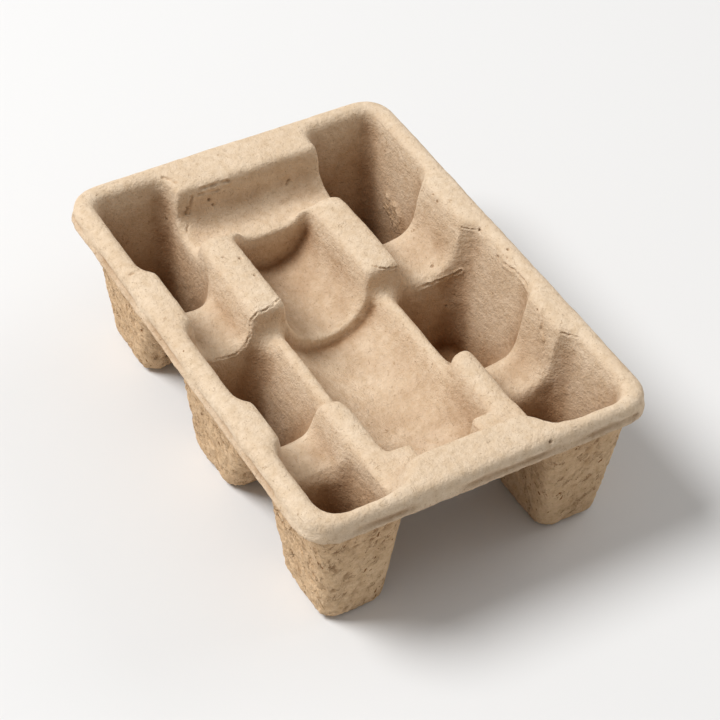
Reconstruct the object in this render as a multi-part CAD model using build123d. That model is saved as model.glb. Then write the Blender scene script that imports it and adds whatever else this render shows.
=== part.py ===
from build123d import *
import os
from math import cos, radians, sin, sqrt, tan

# Tray as a whole: X along its length, Y across, Z up, feet on z = 0.
length = 184.0
width = 132.0
height = 58.0
wall = 2.5
corner_radius = 12.0

# Flat rim, and the lip turned down around it.
side_rim_width = 8.0
rear_rim_width = 8.0
front_rim_width = 6.2
rim_edge_radius = 3.5
rim_bevel = 1.6
lip_depth = 8.0
lip_draft = 4.0
raw_edge_width = 0.6
raw_edge_height = 1.0

# Six hollow feet, three along each long side, each the outside of a pocket.
foot_pitch = 65.0
middle_foot_x = 3.5
foot_y = 42.5
foot_length = 25.0
foot_width = 20.0
foot_corner_radius = 6.0
foot_bevel = 2.2
pocket_corner_radius = 8.0
rear_pocket_corner_radius = 5.0
end_pocket_inner_y = 28.8
middle_pocket_inner_y = 19.2

# Saddles: the low bridges between the pockets.
rear_saddle_start = -40.0
rear_saddle_end = -13.0
rear_saddle_depth = 24.0
front_saddle_start = 30.0
front_saddle_end = 49.0
front_saddle_depth = 27.0
saddle_wall_y = 53.8
saddle_foot_y = 50.5
saddle_outer_radius = 11.0
saddle_inner_radius = 6.0
saddle_bevel = 2.2
upper_wall_draft = 2.0

# Blocks beside the cradle.
block_edge_radius = 3.0
block_corner_radius = 5.0
block_start = -58.0
front_block_start = 31.0
rear_block_depth = 10.0
front_block_depth = 12.0
block_outer_y = 29.6
block_side_lean = 11.0
block_side_depth = 8.0
block_end_ease = 0.75
block_front_radius = 2.0

# The cradle: a neck channel that opens into a body channel.
neck_start = -55.5
neck_radius = 15.5
neck_end_radius = 4.0
body_end_radius = 5.0
body_start = -13.0
body_end = 61.0
body_radius = 20.0
cradle_axis_depth = 18.0
channel_draft = 4.0
bank_depth = 20.0
bank_crest_y = 22.05
bank_crest_radius = 2.6
notch_half_width = 11.0
notch_corner_radius = 5.0
notch_depth = 24.0

# Rear landing, the shelf below it, and the front landing with the ledge below it.
rear_landing_edge = -73.0
landing_edge_radius = 2.5
shelf_depth = 17.0
shelf_radius = 8.0
shelf_half_width = 36.0
landing_corner_radius = 4.5
front_landing_edge = 75.5
landing_draft = 6.0
landing_half_width = 20.0
landing_flare = 0.9
landing_side_run = 7.0
ledge_margin = 1.0

over = 2.0
reach = 1.5
lift = 0.05


def open_top(grow):
    """Cavities are open above the rim; what is grown into the shell ends inside the rim's wall."""
    return height - wall / 2 if grow else height + over


def between(low, high, z_low, z_high, z):
    return low + (high - low) * (z - z_low) / (z_high - z_low)


def flat_sided(levels):
    """A closed solid with flat walls. Each level is (x0, x1, y0, y1, z), from the bottom up."""
    rings = [[(x0, y0, z), (x1, y0, z), (x1, y1, z), (x0, y1, z)] for x0, x1, y0, y1, z in levels]
    outlines = [rings[0], rings[-1]]
    for side, other in ((0, 1), (3, 2)):
        outlines.append([ring[side] for ring in rings] + [ring[other] for ring in reversed(rings)])
    for low, high in zip(rings, rings[1:]):
        outlines.append([low[1], low[2], high[2], high[1]])
        outlines.append([low[3], low[0], high[0], high[3]])
    return Solid(Shell([make_face(Polyline(*outline, close=True)).faces()[0] for outline in outlines]))


def pocket_rim(index):
    """(x0, x1, y0, y1) of a pocket where it meets the top of the rim."""
    rear_x = rear_rim_width - length / 2
    front_x = length / 2 - front_rim_width
    rear_rise = rear_saddle_depth * tan(radians(upper_wall_draft))
    front_rise = front_saddle_depth * tan(radians(upper_wall_draft))
    outer_y = width / 2 - side_rim_width
    if index < 0:
        return rear_x, rear_saddle_start + rear_rise, end_pocket_inner_y, outer_y
    if index == 0:
        return rear_saddle_end - rear_rise, front_saddle_start + front_rise, middle_pocket_inner_y, outer_y
    return front_saddle_end - front_rise, front_x, end_pocket_inner_y, outer_y


def pocket_levels(index):
    """A pocket's foot, its shoulder at the height of the saddles, and its rim."""
    foot_x = middle_foot_x + index * foot_pitch
    foot = (
        foot_x - foot_length / 2,
        foot_x + foot_length / 2,
        foot_y - foot_width / 2,
        foot_y + foot_width / 2,
    )
    rim_outline = pocket_rim(index)
    shoulder_z = height - (rear_saddle_depth if index < 0 else front_saddle_depth)
    shoulder = [between(a, b, wall, height, shoulder_z) for a, b in zip(foot, rim_outline)]
    if index < 0:
        shoulder[1] = rear_saddle_start
    elif index == 0:
        shoulder[0], shoulder[1] = rear_saddle_end, front_saddle_start
    else:
        shoulder[0] = front_saddle_end
    return foot, shoulder, shoulder_z, rim_outline


def pocket(index, grow):
    """A tapered pocket. Its walls turn steeper above the saddles."""
    foot, shoulder, shoulder_z, rim_outline = pocket_levels(index)
    low_z, top = wall - grow, open_top(grow)
    low = [between(a, b, wall, shoulder_z, low_z) for a, b in zip(foot, shoulder)]
    high = [between(a, b, shoulder_z, height, top) for a, b in zip(shoulder, rim_outline)]
    levels = []
    for (x0, x1, y0, y1), z in ((low, low_z), (shoulder, shoulder_z), (high, top)):
        levels.append((x0 - grow, x1 + grow, y0 - grow, y1 + grow, z))
    body = flat_sided(levels)
    radius = foot_corner_radius if grow else pocket_corner_radius
    upright = [edge for edge in body.edges() if edge.bounding_box().size.Z > over]
    if index < 0 and not grow:
        rear = [edge for edge in upright if edge.center().X < foot[0]]
        body = fillet(rear, rear_pocket_corner_radius)
        upright = [
            edge for edge in body.edges().filter_by(GeomType.LINE)
            if edge.bounding_box().size.Z > over and edge.center().X > foot[1]
        ]
    body = fillet(upright, radius)
    if grow:
        body = chamfer(body.edges().group_by(Axis.Z)[0], foot_bevel)
    return body


def pockets(grow):
    made = []
    for index in (-1, 0, 1):
        one = pocket(index, grow)
        made += [one, mirror(one, about=Plane.XZ)]
    return made


def pocket_wall_y(index, z):
    """Where a pocket's inner wall stands at height z."""
    foot, _, _, rim_outline = pocket_levels(index)
    return between(foot[2], rim_outline[2], wall, height, z)


def pocket_bevels():
    """The rim is eased where it drops into the pockets."""
    made = []
    for index in (-1, 0, 1):
        x0, x1, y0, y1 = pocket_rim(index)
        z = height - rim_bevel
        plan = Location(((x0 + x1) / 2, (y0 + y1) / 2, z)) * Rectangle(x1 - x0 - lift, y1 - y0 - lift)
        corners = plan.vertices()
        if index < 0:
            ends = corners.group_by(Axis.X)
            plan = fillet(ends[0], rear_pocket_corner_radius)
            corners = plan.vertices().group_by(Axis.X)[-1]
        plan = fillet(corners, pocket_corner_radius)
        one = extrude(plan, rim_bevel + over, taper=-45)
        made += [one, mirror(one, about=Plane.XZ)]
    return made


def eased(start, end, out_a, out_b, radius):
    """What is taken off to round the ridge from start to end, between faces that look along out_a and out_b."""
    start, end = Vector(*start), Vector(*end)
    along = (end - start).normalized()
    a, b = (v - along * v.dot(along) for v in (Vector(*out_a), Vector(*out_b)))
    a, b = a.normalized(), b.normalized()
    centre = start - (a + b) * ((radius - lift) / (1 + a.dot(b)))
    middle = (a + b).normalized()
    arc = ThreePointArc(centre + a * radius, centre + middle * radius, centre + b * radius)
    far = radius + over
    outside = Polyline(
        centre + b * radius,
        centre + b * far,
        centre + (a + b) * (far / (1 + a.dot(b))),
        centre + a * far,
        centre + a * radius,
    )
    return extrude(make_face(arc + outside), (end - start).length, dir=along)


def both_sides(parts):
    return parts + [mirror(part, about=Plane.XZ) for part in parts]


def section(x0, x1, half, radii, grow):
    """Extrude along X a cavity section given from the centre line outwards."""
    path = [(-y, z) for y, z in reversed(half)] + list(half)
    outline = FilletPolyline(*path, radius=list(reversed(radii)) + list(radii))
    face = make_face(outline + Line(path[-1], path[0]))
    return extrude(Plane.YZ.offset(x0 - grow) * face, x1 - x0 + 2 * grow)


def saddle(x0, x1, block_depth, depth, grow):
    """The dip over a bridge between two pockets, on the +Y side, with bevelled ends."""
    top = open_top(grow)
    floor_z = height - depth - grow
    lean = tan(radians(block_side_lean))
    wall_lean = (saddle_wall_y - saddle_foot_y) / depth
    inner_y = block_outer_y - grow + (height - block_depth - floor_z) * lean
    points = [
        (inner_y - (top - floor_z) * lean, top),
        (inner_y, floor_z),
        (saddle_wall_y + grow - (depth + grow) * wall_lean, floor_z),
        (saddle_wall_y + grow + (top - height) * wall_lean, top),
    ]
    radii = [saddle_inner_radius + grow, saddle_outer_radius + grow]
    if grow:
        face = make_face(FilletPolyline(*points, radius=radii) + Line(points[-1], points[0]))
        return extrude(Plane.YZ.offset(x0 - grow) * face, x1 - x0 + 2 * grow)
    run = 2 * saddle_bevel + lift
    drops = (run * lean, run * lean, -run * wall_lean, -run * wall_lean)
    narrow = [(y + drop, z) for (y, z), drop in zip(points, drops)]
    lip = make_face(FilletPolyline(*narrow, radius=radii) + Line(narrow[-1], narrow[0]))
    bevel_y = saddle_wall_y - rim_bevel * wall_lean
    points[-1] = (bevel_y, height - rim_bevel)
    points.append((bevel_y + rim_bevel + over, top))
    face = make_face(FilletPolyline(*points, radius=radii + [reach]) + Line(points[-1], points[0]))
    body = extrude(Plane.YZ.offset(x0) * face, x1 - x0)
    for x, ahead in ((x0 + saddle_bevel, -1), (x1 - saddle_bevel, 1)):
        body = body + extrude(Plane.YZ.offset(x) * lip, run * sqrt(2), dir=(ahead, 0, -1))
    return body


def saddles(grow):
    rear = saddle(rear_saddle_start, rear_saddle_end, rear_block_depth, rear_saddle_depth, grow)
    front = saddle(front_saddle_start, front_saddle_end, front_block_depth, front_saddle_depth, grow)
    return both_sides([rear, front])


def channel_half_width(radius, z):
    """Half the width of a channel at height z, above the round of its bottom."""
    drop = radius * sin(radians(channel_draft))
    rise = z - (height - cradle_axis_depth - drop)
    return radius * cos(radians(channel_draft)) + rise * tan(radians(channel_draft))


def channel(x0, x1, radius, end_radius, grow):
    """A round-bottomed channel with drafted sides, open at the top; its ends are rounded in plan."""
    axis_z = height - cradle_axis_depth
    top = open_top(grow)
    size = radius + grow
    drop = size * sin(radians(channel_draft))
    half_y = size * cos(radians(channel_draft))
    top_y = channel_half_width(size, top)
    left = (-half_y, axis_z - drop)
    right = (half_y, axis_z - drop)
    bottom = ThreePointArc(left, (0, axis_z - size), right)
    sides = Polyline(right, (top_y, top), (-top_y, top), left)
    body = extrude(Plane.YZ.offset(x0 - grow) * make_face(bottom + sides), x1 - x0 + 2 * grow)
    if grow:
        return body
    plan = Location(((x0 + x1) / 2, 0)) * RectangleRounded(x1 - x0, 2 * top_y + over, end_radius)
    return body & extrude(plan, height + 2 * over)


def cradle(grow):
    neck = channel(neck_start, body_start + neck_radius, neck_radius, neck_end_radius, grow)
    return [neck, channel(body_start, body_end, body_radius, body_end_radius, grow)]


def cover(x0, x1, depth, grow):
    """The space over the blocks, with their outer edges rounded."""
    z = height - depth - grow
    outer_y = block_outer_y - grow
    low_y = outer_y + block_side_depth * tan(radians(block_side_lean))
    points = [
        (outer_y, z),
        (low_y, z - block_side_depth),
        (shelf_half_width, z - block_side_depth),
        (shelf_half_width, open_top(grow)),
    ]
    return section(x0, x1, points, [max(block_edge_radius - grow, 0.5), 1, 1], grow)


def covers(grow):
    rear = cover(block_start + over, rear_saddle_end + reach, rear_block_depth, grow)
    front = cover(front_block_start - over, body_end, front_block_depth, grow)
    return [rear, front]


def bank(grow):
    """The lower ground beside the body channel, between the blocks: two rounded crests."""
    top = open_top(grow)
    x0 = rear_saddle_end - block_end_ease
    x1 = front_block_start
    crest_z = height - bank_depth - grow
    radius = max(bank_crest_radius - grow, lift)
    low_z = crest_z - radius
    half = Polyline((0, low_z), (bank_crest_y - radius, low_z))
    half += ThreePointArc(
        (bank_crest_y - radius, low_z), (bank_crest_y, crest_z), (bank_crest_y + radius, low_z)
    )
    edge_y = body_radius + block_side_depth + grow
    half += Polyline((bank_crest_y + radius, low_z), (edge_y, low_z), (edge_y, top), (0, top))
    face = make_face(half + mirror(half, about=Plane.YZ))
    return extrude(Plane.YZ.offset(x0 - grow) * face, x1 - x0 + 2 * grow)


def notch(x0, x1, depth, grow):
    """The gap that is left between the inward toes of two blocks."""
    top = open_top(grow)
    floor_z = height - depth - grow
    half = notch_half_width + grow
    points = [(half, floor_z), (half + (top - floor_z) * tan(radians(channel_draft)), top)]
    return section(x0, x1, points, [notch_corner_radius + grow], grow)


def shelf(grow):
    """From the rear landing down to the shelf and up to the block tops, cut straight across."""
    top = open_top(grow)
    floor_z = height - shelf_depth - grow
    block_z = height - rear_block_depth
    lean = tan(radians(landing_draft))
    start = rear_landing_edge - grow
    points = [(start + (shelf_depth + grow) * lean, floor_z), (block_start + grow, floor_z)]
    bends = {0: shelf_radius + grow}
    if grow:
        points += [(block_start + grow, top), (start - (top - height) * lean, top)]
    else:
        back = start - landing_edge_radius - reach
        points += [
            (block_start, block_z),
            (rear_saddle_start, block_z),
            (rear_saddle_start, top),
            (back, top),
            (back, height + lift),
            (start - lift * lean, height + lift),
        ]
        bends.update({2: block_edge_radius, 7: landing_edge_radius})
    face = make_face(Polyline(*points, close=True))
    for spot, radius in bends.items():
        x, z = points[spot]
        corner = min(face.vertices(), key=lambda v: (v.X - x) ** 2 + (v.Y - z) ** 2)
        face = fillet([corner], radius)
    half = shelf_half_width + grow
    return extrude(Plane.XZ.offset(-half) * face, 2 * half)


def tongue(grow):
    """What stays of the front landing: it flares into the rim and slopes down at its sides."""
    lean = tan(radians(landing_draft))
    low_z = height - notch_depth - grow - over
    top = height + lift
    far = length / 2
    rings = []
    for z in (low_z, top):
        drop = height - z
        x0 = front_landing_edge + grow - drop * lean
        y0 = landing_half_width - grow + landing_side_run * drop / front_block_depth
        y1 = y0 + landing_flare * (far - x0)
        rings.append([(x0, -y0, z), (far, -y1, z), (far, y1, z), (x0, y0, z)])
    low, high = rings
    outlines = [low, high]
    for i, j in ((0, 1), (1, 2), (2, 3), (3, 0)):
        outlines.append([low[i], low[j], high[j], high[i]])
    faces = [make_face(Polyline(*outline, close=True)).faces()[0] for outline in outlines]
    body = Solid(Shell(faces))
    ridges = [edge for edge in body.edges() if edge.bounding_box().size.Z > over]
    body = fillet([edge for edge in ridges if edge.center().X < far - over], landing_corner_radius)
    if grow:
        return body
    rim_edges = body.edges().group_by(Axis.Z)[-1]
    return chamfer([edge for edge in rim_edges if edge.bounding_box().min.X < far - over], rim_bevel)


def ledge(grow):
    """The step below the front landing, with the notch between the blocks' toes."""
    top = open_top(grow)
    floor_z = height - front_block_depth - grow
    x0 = body_end - wall - grow
    x1 = length / 2 - front_rim_width - ledge_margin + grow
    half = shelf_half_width + grow
    cut = Location(((x0 + x1) / 2, 0, (floor_z + top) / 2)) * Box(x1 - x0, 2 * half, top - floor_z)
    gap = notch(body_end - over, front_landing_edge + over, notch_depth, grow)
    return (cut + gap) - tongue(grow)


def ridge_rounds():
    """The ridges of the blocks and of the rear landing are rounded, as wet pulp settles."""
    rear_z = height - rear_block_depth
    front_z = height - front_block_depth
    neck_y = channel_half_width(neck_radius, rear_z)
    body_y = channel_half_width(body_radius, front_z)
    up = (0, 0, 1)
    lean = sin(radians(channel_draft))
    side = sin(radians(block_side_lean))
    edge, corner = block_edge_radius, block_corner_radius
    wide = shelf_half_width
    shelf_z = height - shelf_depth + lift
    crest_z = height - bank_depth
    front_end = rear_saddle_end - block_end_ease
    rear_side = pocket_wall_y(-1, shelf_z), pocket_wall_y(-1, height)
    toward_channel = (0, -1, lean)
    across = [
        eased((front_block_start, -wide, front_z), (front_block_start, wide, front_z), up, (-1, 0, 0), edge),
        eased((front_end, -wide, rear_z), (front_end, wide, rear_z), up, (1, 0, 0), block_front_radius),
    ]
    one_side = [
        eased((neck_start + reach, neck_y, rear_z), (rear_saddle_end, neck_y, rear_z), up, toward_channel, edge),
        eased((front_block_start, body_y, front_z), (body_end, body_y, front_z), up, toward_channel, edge),
        eased((block_start, rear_side[0], shelf_z), (block_start, rear_side[1], height), (-1, 0, 0), (0, 1, side), corner),
        eased(
            (front_block_start, body_y, crest_z),
            (front_block_start, channel_half_width(body_radius, height), height),
            (-1, 0, 0),
            toward_channel,
            corner,
        ),
    ]
    return across + both_sides(one_side)


def cavities(grow):
    """All hollows of the tray, each grown outwards by grow."""
    parts = [shelf(grow)] + pockets(grow) + saddles(grow) + cradle(grow) + covers(grow)
    parts += [bank(grow), ledge(grow)]
    parts += [notch(block_start - over, neck_start + over, shelf_depth, grow)]
    if not grow:
        parts += pocket_bevels() + ridge_rounds()
    joined = parts[0]
    for part in parts[1:]:
        joined = joined + part
    return joined


def rim_block(inset, z0, z1):
    off = inset + (z0 - (height - lip_depth)) * tan(radians(lip_draft))
    plan = RectangleRounded(length - 2 * off, width - 2 * off, corner_radius - off)
    return extrude(Location((0, 0, z0)) * plan, z1 - z0, taper=lip_draft)


def rim():
    lip_z = height - lip_depth
    outer = rim_block(raw_edge_width, lip_z, height)
    outer = fillet(outer.edges().group_by(Axis.Z)[-1], rim_edge_radius)
    hollow = rim_block(raw_edge_width + wall, lip_z - over, height - wall)
    raw = Location((0, 0, lip_z)) * extrude(RectangleRounded(length, width, corner_radius), raw_edge_height)
    return outer + raw - hollow


def pulp_tray():
    return rim() + cavities(wall) - cavities(0)


os.makedirs("parts", exist_ok=True)
export_step(pulp_tray(), "parts/pulp_tray.step")
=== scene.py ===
import math
from collections import namedtuple

import bmesh
import bpy
import numpy as np
from mathutils import Matrix, Vector, noise
from mathutils.bvhtree import BVHTree
from mathutils.kdtree import KDTree


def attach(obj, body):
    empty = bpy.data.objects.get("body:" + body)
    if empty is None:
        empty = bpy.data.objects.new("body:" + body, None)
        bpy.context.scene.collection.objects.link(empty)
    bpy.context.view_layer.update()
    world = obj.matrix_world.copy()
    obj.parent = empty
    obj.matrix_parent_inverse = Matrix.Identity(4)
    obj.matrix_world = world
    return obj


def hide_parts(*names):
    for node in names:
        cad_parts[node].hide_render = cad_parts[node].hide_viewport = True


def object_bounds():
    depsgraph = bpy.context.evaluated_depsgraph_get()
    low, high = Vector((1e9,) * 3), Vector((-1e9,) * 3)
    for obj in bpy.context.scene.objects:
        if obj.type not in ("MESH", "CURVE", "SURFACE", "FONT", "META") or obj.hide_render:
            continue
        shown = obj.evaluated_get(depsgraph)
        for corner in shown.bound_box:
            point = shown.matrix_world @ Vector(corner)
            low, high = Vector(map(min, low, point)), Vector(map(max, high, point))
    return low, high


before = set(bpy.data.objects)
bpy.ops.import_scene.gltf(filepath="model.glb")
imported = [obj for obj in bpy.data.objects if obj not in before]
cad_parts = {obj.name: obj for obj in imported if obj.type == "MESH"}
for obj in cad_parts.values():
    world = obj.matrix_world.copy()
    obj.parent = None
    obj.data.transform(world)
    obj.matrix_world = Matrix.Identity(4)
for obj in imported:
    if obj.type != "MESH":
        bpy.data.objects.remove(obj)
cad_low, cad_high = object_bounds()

MM = 0.001
NOISE_SEED = 7
OVERHEAD = Vector((0.0, 0.0, 1.0))
RAY_LENGTH = 200 * MM

# The camera, measured from the photograph's frame of 720 x 720 pixels.
FRAME_PIXELS = 720
FOCAL_PIXELS = 2225.65
SENSOR_MM = 36.0
AZIMUTH = math.radians(57.16)
ELEVATION = math.radians(44.43)
ROLL = math.radians(3.76)
DISTANCE = 760.26 * MM
TARGET_OFFSET_PIXELS = (-10.78, -69.86)

# How the skin is made: its grain in metres, rounds and weights of smoothing, and the most faces it may have.
GRAIN = 0.66 * MM
SOFTENING_ROUNDS = 17
PILLOW_ROUNDS = 36
FULL_WEIGHT = 0.5
CRISP_WEIGHT = 0.12
FACE_LIMIT = 197000

# Parts of the tray, in mm: the rim's lower edge and outer face, and the blocks that hold the channel.
# The blocks and their free corners are given for one side of the middle and stand on both.
HEM_LEVEL = 50.0
RIM_FACE = (90.5, 64.5)
RIM_FACE_TOP = 55.0
REAR_BLOCK = (-66.0, 3.0)
FRONT_BLOCK = (26.0, 62.0)
BLOCK_ACROSS = (8.0, 34.0)
BLOCK_LEVEL = 36.0
BLOCK_TIPS = ((-57.0, 15.0, 50.0), (-12.0, 24.5, 36.5))
TIP_FADE = 3.0
INNER_SIDE_OF_FEET = (32.0, 36.0)
CRISP_BELOW_HEM = 3.0
CRISP_ABOVE_HEM = 4.0

# The torn fibre outside and beneath: which way its slots are drawn, then heights and sizes in mm.
SLOT_ON_ENDS = Vector((0.0, 0.62, 0.78))
SLOT_ON_SIDES = Vector((-0.5, 0.0, 0.86))
DRIFT, DRIFT_SIZE = 1.8, 6.0
LUMP_HEIGHT, LUMP_SIZE = 0.42, 6.0
DRAWN_HEIGHT, DRAWN_SIZE = 0.36, (1.2, 3.4)
CRUMB_HEIGHT, CRUMB_SIZE = 0.15, 1.5
PIT_DEPTH = 0.5
CREASE_DEPTH, CREASE_SIZE = 0.5, (2.6, 6.5)
CREASE_FIELD = Vector((9.0, 4.0, 1.0))
PATCH_FIELD, PATCH_SIZE = Vector((3.0, 7.0, 5.0)), 8.0

# Waves of the felted inside and of the frayed hem, as heights and sizes in mm.
FELT_WAVES = ((0.22, 12.0), (0.12, 3.5), (0.07, 1.5))
HEM_FRAY = ((0.55, 3.4), (0.3, 1.2))
HEM_BAND = 1.6

# The groove that rolls the rim's lower edge, in mm: its depth, width and height above the hem.
GROOVE_DEPTH = 0.8
GROOVE_WIDTH = 0.8
GROOVE_ABOVE_HEM = 2.4
GROOVE_PATCH_SIZE = 16.0

# A tear or crease runs through pixels of the photograph; half width, depth and raised lip are in mm.
# A depth below zero is a ridge. Left, right, front and rear are as the photograph shows the tray.
Tear = namedtuple("Tear", "pixels half_width depth lip")
TEARS = {
    "lip of the rear left saddle": Tear(
        [(213, 360), (224, 358), (235, 355), (245, 346), (250, 335), (250, 322)], 0.3, 0.45, 0.15
    ),
    "end of the rear left block": Tear(
        [(250, 322), (256, 314), (264, 311), (271, 307), (275, 303), (279, 299)], 0.3, 0.8, 0.2
    ),
    "rear right saddle at the rim": Tear([(461, 227), (467, 229), (474, 230), (478, 230)], 0.3, 0.7, 0.15),
    "front right saddle at the rim": Tear([(561, 333), (568, 335), (577, 337)], 0.3, 0.7, 0.15),
    "wall of the middle right pocket": Tear(
        [(504, 263), (512, 269), (519, 275), (525, 282), (528, 290)], 0.45, 0.5, 0.3
    ),
    "flank of the front right saddle": Tear(
        [(540, 310), (543, 320), (541, 330), (544, 341), (543, 351)], 0.4, 0.35, 0.2
    ),
    "nick over the middle right pocket": Tear([(498, 249), (501, 247), (503, 246)], 0.3, 0.5, 0.0),
    "rear left saddle at the rim": Tear([(129, 275), (134, 273), (141, 270)], 0.4, 0.7, 0.2),
    "upper crease of the rear landing": Tear(
        [(199, 190), (208, 187), (217, 184), (228, 181)], 0.5, 0.6, 0.3
    ),
    "lower crease of the rear landing": Tear([(198, 194), (206, 193), (218, 190)], 0.4, 0.4, 0.2),
    "lip of the rear left pocket": Tear([(100, 189), (111, 184), (124, 180)], 0.4, 0.4, 0.1),
    "left corner of the rear landing": Tear([(163, 178), (170, 179), (176, 182)], 0.45, 0.8, 0.1),
    "right nick of the rear landing": Tear([(289, 180), (287, 184)], 0.35, 0.7, 0.0),
    "middle nick of the rear landing": Tear([(271, 193), (268, 196)], 0.3, 0.5, 0.0),
    "upper nick of the landing's side": Tear([(187, 208), (186, 214)], 0.4, 0.8, 0.1),
    "lower nick of the landing's side": Tear([(188, 222), (188, 231)], 0.4, 0.6, 0.1),
    "crease of the landing's side": Tear([(192, 196), (190, 204), (189, 214)], 0.4, 0.5, 0.2),
    "lip of the rear right saddle": Tear(
        [(418, 289), (428, 285), (440, 280), (452, 275), (461, 270)], 0.4, 0.4, 0.35
    ),
    "nick of the front left pocket": Tear([(298, 456), (297, 462)], 0.35, 0.9, 0.0),
    "end of the rear right block": Tear(
        [(372, 266), (380, 268), (388, 269), (396, 267), (401, 262)], 0.28, 0.7, 0.2
    ),
    "ridge in the rear right pocket": Tear(
        [(389, 197), (396, 206), (400, 215), (395, 223)], 1.3, -1.1, 0.0
    ),
    "crease beside that ridge": Tear([(384, 205), (390, 213), (390, 221)], 0.45, 0.8, 0.2),
    "nick of the right rim": Tear([(538, 280), (540, 278)], 0.3, 0.6, 0.0),
}
MARK_STEP = 0.2
WANDER, WANDER_SIZE = 0.45, 1.3
FORCE_SIZE = 2.5
LEAST_FORCE = 0.35

# A tear's raised lip: how far from the tear it stands and how wide it is, in half widths of the tear.
LIP_PLACE = 2.2
LIP_WIDTH = 0.9

# A pinhole lies behind one pixel of the photograph; its radius is in mm.
Pinhole = namedtuple("Pinhole", "pixel radius")
PINHOLES = {
    "rear right saddle": [Pinhole((478.5, 230), 0.55)],
    "front of the rim": [Pinhole((551, 442), 0.6)],
    "front left foot": [Pinhole((292, 553), 0.9), Pinhole((292.5, 557), 0.8), Pinhole((278, 512), 0.6)],
    "rear landing": [Pinhole((209, 200), 0.5), Pinhole((213, 205), 0.4)],
    "rear left block": [Pinhole((240, 258), 0.55), Pinhole((255, 275), 0.4), Pinhole((223, 257), 0.35)],
    "rear left pocket": [Pinhole((166, 219), 0.35)],
    "rear right pocket": [Pinhole((433, 195), 0.35), Pinhole((437, 202), 0.4)],
    "foot of the rear right saddle": [Pinhole((432, 266), 0.45)],
    "right rim": [Pinhole((498, 257), 0.45), Pinhole((508, 249), 0.45)],
    "middle right pocket": [Pinhole((446, 306), 0.4), Pinhole((537, 310), 0.35), Pinhole((507, 258), 0.3)],
}

# Colours of the dry pulp, and of the shade painted on it. The two tans are its own; the others darken or
# warm what lies under them.
WHITE = (1.0, 1.0, 1.0, 1.0)
DARK_TAN = (0.715, 0.555, 0.395, 1.0)
LIGHT_TAN = (0.775, 0.625, 0.465, 1.0)
MOTTLE = (0.87, 0.83, 0.77, 1.0)
SPECK = (0.5, 0.42, 0.35, 1.0)
FLECK = (0.42, 0.31, 0.22, 1.0)
LONG_THREAD = (0.62, 0.50, 0.39, 1.0)
SHORT_THREAD = (0.68, 0.57, 0.46, 1.0)
TORN_WARMTH = (1.08, 1.0, 0.88, 1.0)
# Painted shade: in torn slots and along fold creases, in hollows and creases, and deep in the pockets.
SLOT_SHADE = (0.44, 0.275, 0.155, 1.0)
HOLLOW_SHADE = (0.46, 0.32, 0.205, 1.0)
DEEP_SHADE = (0.54, 0.385, 0.25, 1.0)

# Colours of the studio.
FLOOR_PAPER = (0.76, 0.76, 0.76, 1.0)
SOFT_WHITE = (1.0, 0.975, 0.94, 1.0)


def camera_axes():
    """Where the camera looks, its right and its up."""
    ahead = Vector(
        (
            -math.sin(AZIMUTH) * math.cos(ELEVATION),
            math.cos(AZIMUTH) * math.cos(ELEVATION),
            -math.sin(ELEVATION),
        )
    )
    level = Vector((math.cos(AZIMUTH), math.sin(AZIMUTH), 0.0))
    upward = level.cross(ahead)
    right = level * math.cos(ROLL) + upward * math.sin(ROLL)
    up = upward * math.cos(ROLL) - level * math.sin(ROLL)
    return ahead, right, up


def camera_place():
    """The camera sees the middle of the rim's top at a small offset from the middle of the picture."""
    ahead, right, up = camera_axes()
    across, down = (offset / FOCAL_PIXELS for offset in TARGET_OFFSET_PIXELS)
    return Vector((0.0, 0.0, cad_high.z)) - (ahead + right * across - up * down) * DISTANCE


def add_camera():
    """A camera at the photograph's viewing angle."""
    ahead, right, up = camera_axes()
    data = bpy.data.cameras.new("camera")
    data.lens = FOCAL_PIXELS / FRAME_PIXELS * SENSOR_MM
    data.sensor_width = SENSOR_MM
    data.clip_start, data.clip_end = 0.01, 20.0
    camera = bpy.data.objects.new("camera", data)
    turn = Matrix((right, up, -ahead)).transposed()
    camera.matrix_world = Matrix.Translation(camera_place()) @ turn.to_4x4()
    bpy.context.scene.collection.objects.link(camera)
    bpy.context.scene.camera = camera


def seen_at(tree, pixel):
    """The point of the surface behind a pixel of the photograph, or None."""
    ahead, right, up = camera_axes()
    half = FRAME_PIXELS / 2
    ray = ahead + right * ((pixel[0] - half) / FOCAL_PIXELS) - up * ((pixel[1] - half) / FOCAL_PIXELS)
    return tree.ray_cast(camera_place(), ray.normalized())[0]


def new_material(name, roughness, specular):
    """A material with its main shader, and that shader."""
    material = bpy.data.materials.new(name)
    material.use_nodes = True
    shader = material.node_tree.nodes["Principled BSDF"]
    shader.inputs["Roughness"].default_value = roughness
    shader.inputs["Specular IOR Level"].default_value = specular
    return material, shader


def add_floor(half_size):
    """The pale paper that the tray stands on."""
    mesh = bpy.data.meshes.new("floor")
    shape = bmesh.new()
    bmesh.ops.create_grid(shape, x_segments=1, y_segments=1, size=half_size)
    shape.to_mesh(mesh)
    shape.free()
    floor = bpy.data.objects.new("floor", mesh)
    bpy.context.scene.collection.objects.link(floor)
    material, shader = new_material("floor_paper", roughness=0.9, specular=0.1)
    shader.inputs["Base Color"].default_value = FLOOR_PAPER
    mesh.materials.append(material)


def add_lamp(name, place, size, power):
    """A round soft lamp that points at the tray."""
    data = bpy.data.lights.new(name, "AREA")
    data.shape = "DISK"
    data.size = size
    data.energy = power
    light = bpy.data.objects.new(name, data)
    light.location = place
    light.rotation_euler = (-Vector(place)).to_track_quat("-Z", "Y").to_euler()
    bpy.context.scene.collection.objects.link(light)


def add_world(strength):
    """An even, slightly warm light from all sides."""
    world = bpy.data.worlds.new("studio")
    bpy.context.scene.world = world
    world.use_nodes = True
    sky = world.node_tree.nodes["Background"]
    sky.inputs["Color"].default_value = SOFT_WHITE
    sky.inputs["Strength"].default_value = strength


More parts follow.
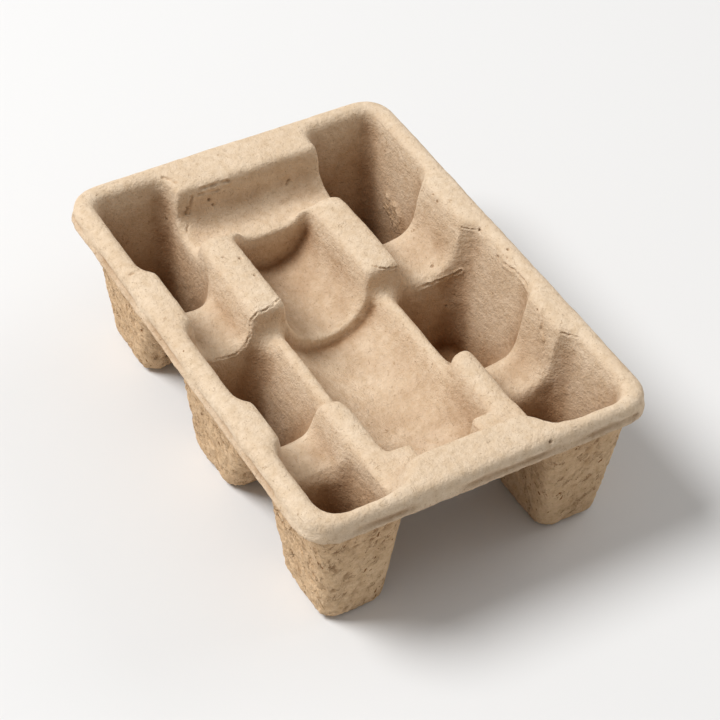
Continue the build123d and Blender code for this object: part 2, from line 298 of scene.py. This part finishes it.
class Graph:
    """Short ways to lay out a material's nodes."""

    def __init__(self, material):
        self.nodes = material.node_tree.nodes
        self.links = material.node_tree.links
        self.place = self.nodes.new("ShaderNodeTexCoord").outputs["Object"]

    def node(self, kind, inputs=None, **values):
        """A node with its settings, and its inputs linked or set."""
        made = self.nodes.new(kind)
        for name, value in values.items():
            setattr(made, name, value)
        for name, value in (inputs or {}).items():
            if isinstance(value, bpy.types.NodeSocket):
                self.links.new(value, made.inputs[name])
            else:
                made.inputs[name].default_value = value
        return made

    def maths(self, operation, first, second=0.0, third=0.0, clamp=False):
        """One sum with numbers or values."""
        inputs = {0: first, 1: second, 2: third}
        return self.node("ShaderNodeMath", inputs, operation=operation, use_clamp=clamp).outputs[0]

    def vectors(self, operation, first, second):
        """One sum with places."""
        return self.node("ShaderNodeVectorMath", {0: first, 1: second}, operation=operation).outputs[0]

    def noise(self, scale, detail, roughness, where=None, distortion=0.0, output="Fac"):
        """Cloudy noise, on the piece's own coordinates if no others are given."""
        inputs = {"Vector": where or self.place, "Scale": scale, "Detail": detail}
        inputs.update({"Roughness": roughness, "Distortion": distortion})
        return self.node("ShaderNodeTexNoise", inputs).outputs[output]

    def ramp(self, value, stops):
        """A colour between two stops."""
        made = self.node("ShaderNodeValToRGB", {"Fac": value})
        points = made.color_ramp.elements
        for point, (position, colour) in zip(points, stops):
            point.position, point.color = position, colour
        return made.outputs["Color"]

    def multiply(self, factor, first, second):
        """The first colour darkened or warmed by the second, as far as the factor says."""
        inputs = {0: factor, 6: first, 7: second}
        return self.node("ShaderNodeMix", inputs, data_type="RGBA", blend_type="MULTIPLY").outputs[2]

    def attribute(self, name):
        """A share that the mesh carries per vertex."""
        return self.node("ShaderNodeAttribute", attribute_name=name).outputs["Fac"]

    def contour(self, field, width):
        """A thin line where a noise passes its middle value."""
        off = self.maths("ABSOLUTE", self.maths("SUBTRACT", field, 0.5))
        return self.maths("MULTIPLY_ADD", off, -1.0 / width, 1.0, clamp=True)

    def spots(self, where, scale, spread, least, steepness):
        """Scattered spots of many sizes, of which the least do not show."""
        cells = self.node("ShaderNodeTexVoronoi", {"Vector": where, "Scale": scale})
        lot = self.node("ShaderNodeSeparateColor", {"Color": cells.outputs["Color"]}).outputs[0]
        reach = self.maths("MULTIPLY_ADD", lot, spread, least)
        inside = self.maths("SUBTRACT", reach, cells.outputs["Distance"])
        return self.maths("MULTIPLY", inside, steepness, clamp=True)


def threads(graph, scale, width, cut):
    """Thin curled fibres: short pieces of a noise's contour lines."""
    line = graph.contour(graph.noise(scale, 2.0, 0.5, distortion=1.4), width)
    share = graph.noise(scale * 2.3, 1.0, 0.5)
    piece = graph.maths("MULTIPLY_ADD", share, 14.0, -14.0 * cut, clamp=True)
    return graph.maths("MULTIPLY", line, piece)


def slots(graph, turn, size):
    """A mask of painted shade: short slots between torn fibres, drawn out along one direction, and crease
    lines along the folds; and the folds themselves.
    """
    drift = graph.noise(330.0, 2.0, 0.6, output="Color")
    moved = graph.vectors("ADD", graph.place, graph.vectors("MULTIPLY", drift, (0.0024, 0.0024, 0.0024)))
    inputs = {"Vector": moved, "Rotation": turn, "Scale": size}
    drawn = graph.node("ShaderNodeMapping", inputs, vector_type="TEXTURE").outputs[0]
    slot = graph.spots(drawn, 1.0, spread=0.42, least=-0.15, steepness=14.0)
    folds = graph.noise(0.62, 2.0, 0.55, where=drawn)
    share = graph.noise(190.0, 1.0, 0.5)
    piece = graph.maths("MULTIPLY_ADD", share, 9.0, -4.6, clamp=True)
    line = graph.maths("MULTIPLY", graph.contour(folds, 0.03), piece)
    return graph.maths("MAXIMUM", slot, graph.maths("MULTIPLY", line, 0.8)), folds


def torn_slots(graph):
    """The painted slot shade and the folds of all walls: one way on walls that face the ends, another on the
    sides.
    """
    ends = graph.attribute("ends")
    sides = graph.maths("SUBTRACT", 1.0, ends)
    end_slots, end_folds = slots(graph, turn=(-0.67, 0.0, 0.0), size=(0.0016, 0.0016, 0.0060))
    side_slots, side_folds = slots(graph, turn=(0.0, -0.52, 0.0), size=(0.0014, 0.0014, 0.0050))
    slot = graph.maths("MULTIPLY_ADD", end_slots, ends, graph.maths("MULTIPLY", side_slots, sides))
    fold = graph.maths("MULTIPLY_ADD", end_folds, ends, graph.maths("MULTIPLY", side_folds, sides))
    return slot, fold


def felt_colour(graph, long_threads, short_threads):
    """Warm tan in soft clouds, with mottle, specks, brown flecks and darker fibres."""
    clouds = graph.noise(38.0, 3.0, 0.55)
    colour = graph.ramp(clouds, [(0.3, DARK_TAN), (0.7, LIGHT_TAN)])
    mottle = graph.noise(360.0, 4.0, 0.65)
    colour = graph.multiply(1.0, colour, graph.ramp(mottle, [(0.3, MOTTLE), (0.62, WHITE)]))
    specks = graph.noise(1500.0, 2.0, 0.6)
    colour = graph.multiply(0.7, colour, graph.ramp(specks, [(0.28, SPECK), (0.36, WHITE)]))
    flecks = graph.spots(graph.place, 190.0, spread=0.16, least=-0.08, steepness=30.0)
    colour = graph.multiply(flecks, colour, FLECK)
    colour = graph.multiply(graph.maths("MULTIPLY", long_threads, 0.7), colour, LONG_THREAD)
    return graph.multiply(graph.maths("MULTIPLY", short_threads, 0.4), colour, SHORT_THREAD)


def felt_bump(graph, torn, parts):
    """The fibres' fine relief, rougher where the pulp is torn; each part comes with its own height."""
    felt = graph.noise(420.0, 5.0, 0.62)
    height = graph.maths("MULTIPLY", felt, graph.maths("MULTIPLY_ADD", torn, 0.7, 0.75))
    for part, share in parts:
        height = graph.maths("MULTIPLY_ADD", part, share, height)
    inputs = {"Height": height, "Distance": 1.0 * MM, "Strength": 1.0}
    return graph.node("ShaderNodeBump", inputs).outputs["Normal"]


def pulp_material():
    """Dry felted fibre: warm tan, lightly mottled, flecked, torn open on the outside of the feet, with
    painted shade in torn slots, hollows and deep pockets.
    """
    material, shader = new_material("pulp", roughness=0.95, specular=0.12)
    graph = Graph(material)
    torn = graph.attribute("torn")
    long_threads = threads(graph, scale=150.0, width=0.008, cut=0.55)
    short_threads = threads(graph, scale=330.0, width=0.014, cut=0.6)
    slot, fold = torn_slots(graph)
    slot = graph.maths("MULTIPLY", slot, torn, clamp=True)

    colour = felt_colour(graph, long_threads, short_threads)
    colour = graph.multiply(torn, colour, TORN_WARMTH)
    # Painted shade in the torn slots and along the folds' creases.
    colour = graph.multiply(slot, colour, SLOT_SHADE)
    # Painted shade in hollows and creases, and deep in the pockets where little sky reaches.
    colour = graph.multiply(graph.attribute("hollow"), colour, HOLLOW_SHADE)
    colour = graph.multiply(graph.attribute("deep"), colour, DEEP_SHADE)
    graph.links.new(colour, shader.inputs["Base Color"])

    grain = graph.noise(1300.0, 3.0, 0.6)
    torn_fold = graph.maths("MULTIPLY", fold, torn)
    parts = ((grain, 0.34), (long_threads, 0.10), (short_threads, -0.05), (torn_fold, 1.9), (slot, -0.45))
    graph.links.new(felt_bump(graph, torn, parts), shader.inputs["Normal"])
    return material


def as_modified(mesh, name, kind, **settings):
    """A new mesh: what one modifier makes of this one."""
    carrier = bpy.data.objects.new(name, mesh)
    bpy.context.scene.collection.objects.link(carrier)
    modifier = carrier.modifiers.new(name, kind)
    for setting, value in settings.items():
        setattr(modifier, setting, value)
    seen = carrier.evaluated_get(bpy.context.evaluated_depsgraph_get())
    made = bpy.data.meshes.new_from_object(seen)
    bpy.data.objects.remove(carrier)
    return made


def even_skin():
    """The tray's solid as one even skin of small faces."""
    shape = bmesh.new()
    shape.from_mesh(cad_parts["pulp_tray"].data)
    bmesh.ops.remove_doubles(shape, verts=shape.verts, dist=1e-6)
    mesh = bpy.data.meshes.new("tray_solid")
    shape.to_mesh(mesh)
    shape.free()
    return as_modified(mesh, "tray_solid", "REMESH", mode="VOXEL", voxel_size=GRAIN)


def thinned(mesh):
    """The same skin with fewer faces where it is even."""
    mesh.calc_loop_triangles()
    ratio = min(FACE_LIMIT / len(mesh.loop_triangles), 1.0)
    return as_modified(mesh, "tray_skin", "DECIMATE", ratio=ratio)


def read_places(mesh):
    """The places of the vertices, in metres, one row each."""
    places = np.empty(len(mesh.vertices) * 3)
    mesh.vertices.foreach_get("co", places)
    return places.reshape(-1, 3)


def write_places(mesh, places):
    """Moves the vertices to these places."""
    mesh.vertices.foreach_set("co", places.ravel())
    mesh.update()


def read_normals(mesh):
    """The normals of the vertices, one row each."""
    normals = np.empty(len(mesh.vertices) * 3)
    mesh.vertex_normals.foreach_get("vector", normals)
    return normals.reshape(-1, 3)


def read_edges(mesh):
    """The two vertices of each edge, one row each."""
    edges = np.empty(len(mesh.edges) * 2, dtype=np.int64)
    mesh.edges.foreach_get("vertices", edges)
    return edges.reshape(-1, 2)


def averaged(values, edges, rounds=1):
    """Each vertex's row of values averaged over its neighbours, as many rounds as asked."""
    count = len(values)
    degree = np.maximum(np.bincount(edges.ravel(), minlength=count), 1)[:, None]
    for _ in range(rounds):
        total = np.zeros(values.shape)
        for near, far in ((0, 1), (1, 0)):
            for axis in range(values.shape[1]):
                weights = values[edges[:, far], axis]
                total[:, axis] += np.bincount(edges[:, near], weights=weights, minlength=count)
        values = total / degree
    return values


def evened(share, edges, rounds):
    """One share per vertex, averaged over the neighbours."""
    return averaged(share[:, None], edges, rounds)[:, 0]


def between(value, start, end):
    """0 at the start, 1 at the end and even between them; for one value."""
    return min(max((value - start) / (end - start), 0.0), 1.0)


def all_between(values, start, end):
    """0 at the start, 1 at the end and even between them; for an array."""
    return np.clip((values - start) / (end - start), 0.0, 1.0)


def at_least(least, share):
    """The share, lifted so that it never falls under the least."""
    return least + (1 - least) * share


def band(values, ends, rise, fall):
    """1 between the ends, rising from 0 inside the first and falling to 0 at the second."""
    return all_between(values, ends[0], ends[0] + rise) * all_between(values, ends[1], ends[1] - fall)


def softened(mesh, rounds, weight):
    """Each vertex moves towards the middle of its neighbours, by its own weight."""
    places, edges = read_places(mesh), read_edges(mesh)
    for _ in range(rounds):
        places += (averaged(places, edges) - places) * weight[:, None]
    write_places(mesh, places)


def soft_ridges(mesh):
    """Every ridge is softened, while the rim's lower edge stays crisp."""
    level = read_places(mesh)[:, 2] / MM
    above = all_between(level, HEM_LEVEL, HEM_LEVEL + CRISP_ABOVE_HEM)
    rim = CRISP_WEIGHT + (FULL_WEIGHT - CRISP_WEIGHT) * above
    softened(mesh, SOFTENING_ROUNDS, np.where(level < HEM_LEVEL - CRISP_BELOW_HEM, FULL_WEIGHT, rim))


def near_tips(places, reach):
    """1 near the free corners of the blocks, 0 beyond the reach; all in mm."""
    share = np.zeros(len(places))
    for x, y, z in BLOCK_TIPS:
        across = np.abs(places[:, 1])
        gap = np.sqrt((x - places[:, 0]) ** 2 + (y - across) ** 2 + (z - places[:, 2]) ** 2)
        share = np.maximum(share, all_between(gap, reach, reach - TIP_FADE))
    return share


def pillowed(mesh):
    """The blocks that hold the channel are rounder than the rest, and their free corners roundest."""
    places = read_places(mesh) / MM
    x, y, z = places[:, 0], np.abs(places[:, 1]), places[:, 2]
    rear = band(x, REAR_BLOCK, rise=4.0, fall=4.0)
    front = band(x, FRONT_BLOCK, rise=4.0, fall=6.0)
    across = band(y, BLOCK_ACROSS, rise=3.0, fall=3.0)
    blocks = np.maximum(rear, front) * across * all_between(z, BLOCK_LEVEL, BLOCK_LEVEL + 5.0)
    blocks = np.maximum(blocks, near_tips(places, 8.0))
    softened(mesh, PILLOW_ROUNDS, FULL_WEIGHT * blocks)
    softened(mesh, 3 * PILLOW_ROUNDS, FULL_WEIGHT * near_tips(places, 7.0))


def tree_of(mesh):
    """The mesh as a tree that rays are cast against."""
    shape = bmesh.new()
    shape.from_mesh(mesh)
    tree = BVHTree.FromBMesh(shape)
    shape.free()
    return tree


def blocked_share(places, normals, tree, looks, lift):
    """How many of the looks are blocked at each place, from 0 to 1; a look starts lifted off the skin."""
    share = np.zeros(len(places))
    for index, (place, normal) in enumerate(zip(places, normals)):
        start = Vector(place) + Vector(normal) * lift
        hits = [tree.ray_cast(start, look, RAY_LENGTH)[0] is not None for look in looks]
        share[index] = sum(hits) / len(looks)
    return share


def roofed(places, normals, tree):
    """1 where pulp stands overhead, which is the rough side of the mould, and 0 elsewhere."""
    return blocked_share(places, normals, tree, [OVERHEAD], 0.2 * MM)


def closed_in(places, normals, tree):
    """How much of the sky each place cannot see, from 0 to 1."""
    looks = [OVERHEAD]
    for tilt, count in ((28.0, 4), (55.0, 6)):
        flat, rise = math.sin(math.radians(tilt)), math.cos(math.radians(tilt))
        for step in range(count):
            turn = math.tau * (step + tilt / 90) / count
            looks.append(Vector((flat * math.cos(turn), flat * math.sin(turn), rise)))
    return blocked_share(places, normals, tree, looks, 0.4 * MM)


def waves(place, parts):
    """Noise of several sizes, each with its own height."""
    return sum(height * noise.noise(place / size) for height, size in parts)


def stretched(place, along, sizes):
    """Noise coordinates that are drawn out along one direction, from a short to a long size."""
    short, long = sizes
    return place / short - along * (place.dot(along) * (1 / short - 1 / long))


def torn_relief(place, normal):
    """Height of the torn fibre at a point, in mm; place is in mm."""
    moved = place + noise.noise_vector(place / DRIFT_SIZE) * DRIFT
    on_ends = between(abs(normal.x) - abs(normal.y), -0.25, 0.25)
    drawn = 0.0
    crease = 0.0
    for along, share in ((SLOT_ON_ENDS, on_ends), (SLOT_ON_SIDES, 1 - on_ends)):
        if share > 0.02:
            drawn += share * noise.noise(stretched(moved, along, DRAWN_SIZE))
            fold = abs(noise.noise(stretched(moved, along, CREASE_SIZE) + CREASE_FIELD))
            crease += share * (1 - between(fold, 0.0, 0.13))
    patch = between(noise.noise(place / PATCH_SIZE + PATCH_FIELD), -0.25, 0.3)
    pit = between(-drawn, 0.30, 0.52) * at_least(0.35, patch)
    lumps = noise.fractal(place / LUMP_SIZE, 0.9, 2.1, 3)
    crumbs = noise.noise(moved / CRUMB_SIZE)
    relief = LUMP_HEIGHT * lumps + DRAWN_HEIGHT * drawn + CRUMB_HEIGHT * crumbs
    return relief - PIT_DEPTH * pit - CREASE_DEPTH * crease * patch


def felt_relief(place):
    """Height of the felted side at a point, in mm, with the groove that rolls the rim's lower edge."""
    relief = waves(place, FELT_WAVES)
    beyond = max(abs(place.x) - RIM_FACE[0], abs(place.y) - RIM_FACE[1])
    if beyond > 0 and place.z < RIM_FACE_TOP:
        rolled = between(noise.noise(place / GROOVE_PATCH_SIZE), -0.4, 0.2)
        off = (place.z - HEM_LEVEL - GROOVE_ABOVE_HEM) / GROOVE_WIDTH
        relief -= GROOVE_DEPTH * rolled * math.exp(-(off**2))
    return relief


def torn_strength(places, normals):
    """The torn relief is full on the feet's outer walls and calmer elsewhere."""
    low = all_between(places[:, 2] / MM, HEM_LEVEL, HEM_LEVEL - 3.0)
    upright = all_between(np.abs(normals[:, 2]), 1.0, 0.7)
    outside = all_between(np.abs(places[:, 1]) / MM, *INNER_SIDE_OF_FEET)
    return at_least(0.35, low) * at_least(0.4, upright) * at_least(0.4, outside)


def frayed(places):
    """The rim's lower edge goes up and down a little, as torn fibre does."""
    hem = np.clip(1.0 - np.abs(places[:, 2] / MM - HEM_LEVEL) / HEM_BAND, 0.0, 1.0)
    for index in np.nonzero(hem > 0.02)[0]:
        places[index, 2] += waves(Vector(places[index]) / MM, HEM_FRAY) * hem[index] * MM


def rough_skin(mesh, tree):
    """The outside of the feet and the underside are rough torn fibre; the inside is felted smooth."""
    places, normals = read_places(mesh), read_normals(mesh)
    share = evened(roofed(places, normals, tree), read_edges(mesh), 5)
    torn = np.zeros(len(places))
    for index in np.nonzero(share > 0.02)[0]:
        torn[index] = torn_relief(Vector(places[index]) / MM, Vector(normals[index])) * share[index]
    felt = np.zeros(len(places))
    for index in np.nonzero(share < 0.98)[0]:
        felt[index] = felt_relief(Vector(places[index]) / MM) * (1 - share[index])
    height = (torn * torn_strength(places, normals) + felt) * MM
    places += normals * height[:, None]
    frayed(places)
    write_places(mesh, places)


def tear_marks(tree, tear):
    """Close marks along a tear, which wander a little and press now more, now less."""
    marks = []
    found = [seen_at(tree, pixel) for pixel in tear.pixels]
    found = [place for place in found if place is not None]
    for start, end in zip(found, found[1:]):
        steps = max(int((end - start).length / (MARK_STEP * MM)), 1)
        for step in range(steps + 1):
            place = start.lerp(end, step / steps)
            wander = noise.noise_vector(place / MM / WANDER_SIZE) * (WANDER * MM)
            force = at_least(LEAST_FORCE, between(noise.noise(place / MM / FORCE_SIZE), -0.35, 0.15))
            marks.append((place + wander, tear.half_width, tear.depth * force, tear.lip * force))
    return marks


def pinhole_marks(tree, pinhole):
    """One round mark, deeper than it is wide, or none where the pixel misses the tray."""
    place = seen_at(tree, pinhole.pixel)
    return [] if place is None else [(place, pinhole.radius, 1.6 * pinhole.radius + 0.5, 0.0)]


def finer_near(shape, near, reach):
    """Halves the edges within reach of a mark."""
    close = [vert for vert in shape.verts if near.find(vert.co)[2] < reach]
    edges = {edge for vert in close for edge in vert.link_edges}
    bmesh.ops.subdivide_edges(shape, edges=list(edges), cuts=1, use_grid_fill=True)


def pressed(shape, near, marks):
    """Each mark goes in along the skin's normal and raises a small lip beside it."""
    moves = []
    for vert in shape.verts:
        _, index, gap = near.find(vert.co)
        _, half_width, depth, lip = marks[index]
        gap /= MM
        if gap < 3 * half_width + 0.6:
            cut = -depth * math.exp(-((gap / half_width) ** 2))
            off = (gap - LIP_PLACE * half_width) / (LIP_WIDTH * half_width)
            rise = lip * math.exp(-(off**2))
            moves.append((vert, vert.normal * ((cut + rise) * MM)))
    for vert, move in moves:
        vert.co += move


def worked(mesh, tree):
    """Tears, creases and pinholes, each where the photograph shows it."""
    marks = []
    for tear in TEARS.values():
        marks += tear_marks(tree, tear)
    for group in PINHOLES.values():
        for pinhole in group:
            marks += pinhole_marks(tree, pinhole)
    near = KDTree(len(marks))
    for index, mark in enumerate(marks):
        near.insert(mark[0], index)
    near.balance()
    shape = bmesh.new()
    shape.from_mesh(mesh)
    for reach in (1.6 * MM, 0.9 * MM):
        finer_near(shape, near, reach)
    shape.normal_update()
    pressed(shape, near, marks)
    bmesh.ops.triangulate(shape, faces=[face for face in shape.faces if len(face.verts) > 4])
    shape.to_mesh(mesh)
    shape.free()


def add_share(mesh, name, values):
    """A share per vertex that the material reads by its name."""
    layer = mesh.attributes.new(name, "FLOAT", "POINT")
    layer.data.foreach_set("value", values.astype(np.float32))


def add_shares(mesh):
    """Where the skin is hollow, torn, turned to the ends or deep inside; hollow and deep say where shade is
    painted.
    """
    places, normals, edges = read_places(mesh), read_normals(mesh), read_edges(mesh)
    tree = tree_of(mesh)
    sunk = ((averaged(places, edges, 4) - places) * normals).sum(axis=1) / MM
    torn = evened(roofed(places, normals, tree), edges, 2)
    deep = evened(closed_in(places, normals, tree), edges, 6)
    # Painted shade in hollows and creases, by how far each vertex sits below its neighbours.
    add_share(mesh, "hollow", evened(all_between(sunk, 0.08, 0.53), edges, 1))
    add_share(mesh, "torn", torn * all_between(places[:, 2] / MM, HEM_LEVEL + 0.5, HEM_LEVEL - 2.5))
    add_share(mesh, "ends", all_between(np.abs(normals[:, 0]) - np.abs(normals[:, 1]), -0.25, 0.25))
    # Painted shade deep in the pockets where little sky reaches, weaker on torn fibre.
    add_share(mesh, "deep", all_between(deep, 0.34, 0.84) * (1.0 - 0.7 * torn))


def add_tray():
    """The whole tray is one moulded skin, kept inside the solid's box."""
    mesh = even_skin()
    soft_ridges(mesh)
    pillowed(mesh)
    tree = tree_of(mesh)
    rough_skin(mesh, tree)
    worked(mesh, tree)
    mesh = thinned(mesh)
    write_places(mesh, np.clip(read_places(mesh), np.array(cad_low), np.array(cad_high)))
    add_shares(mesh)
    mesh.shade_smooth()
    mesh.name = "moulded_tray"
    mesh.materials.clear()
    mesh.materials.append(pulp_material())
    piece = bpy.data.objects.new("moulded_tray", mesh)
    bpy.context.scene.collection.objects.link(piece)
    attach(piece, "root")
    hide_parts("pulp_tray")


add_camera()
add_floor(half_size=3.0)
add_lamp("window", place=(-0.80, -1.30, 2.05), size=1.2, power=65.0)
add_lamp("fill", place=(0.0, 1.9, 1.2), size=1.6, power=11.0)
add_world(strength=0.35)
noise.seed_set(NOISE_SEED)
add_tray()
bpy.context.scene.view_settings.view_transform = "Standard"
